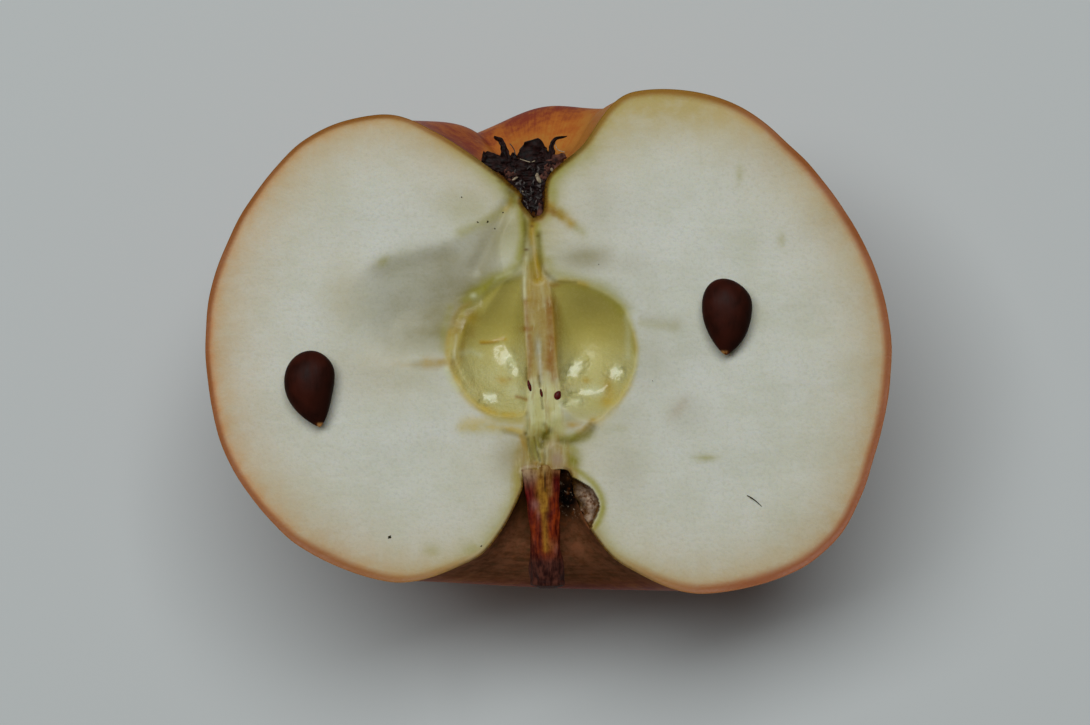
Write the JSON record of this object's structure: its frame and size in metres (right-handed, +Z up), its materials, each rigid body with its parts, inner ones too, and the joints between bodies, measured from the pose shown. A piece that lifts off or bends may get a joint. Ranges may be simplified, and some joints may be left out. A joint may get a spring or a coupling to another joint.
{
  "type": "apple half",
  "caption": "Half an apple cut lengthwise through stalk and calyx, resting on its skin with the cut face up, with its core open and loose seeds lying on the flesh.",
  "frame": {"origin": "on the ground, under the middle of the whole outline", "axes": "+Z up, square to the cut face, +Y from the stalk towards the calyx, +X to the right of the core seen from above"},
  "size_m": [0.0764, 0.0566, 0.0397],
  "materials": {
    "flesh": "moist cream-white flesh inside an orange-red skin",
    "stalk": "dry brown stalk, split at its foot",
    "calyx": "dry, dark and brittle",
    "seed": "smooth dark brown seed coat"
  },
  "bodies": {
    "root": {"apple_half": "flesh", "stalk": "stalk", "calyx": "calyx", "seed_left": "seed", "seed_right": "seed"}
  },
  "joints": []
}
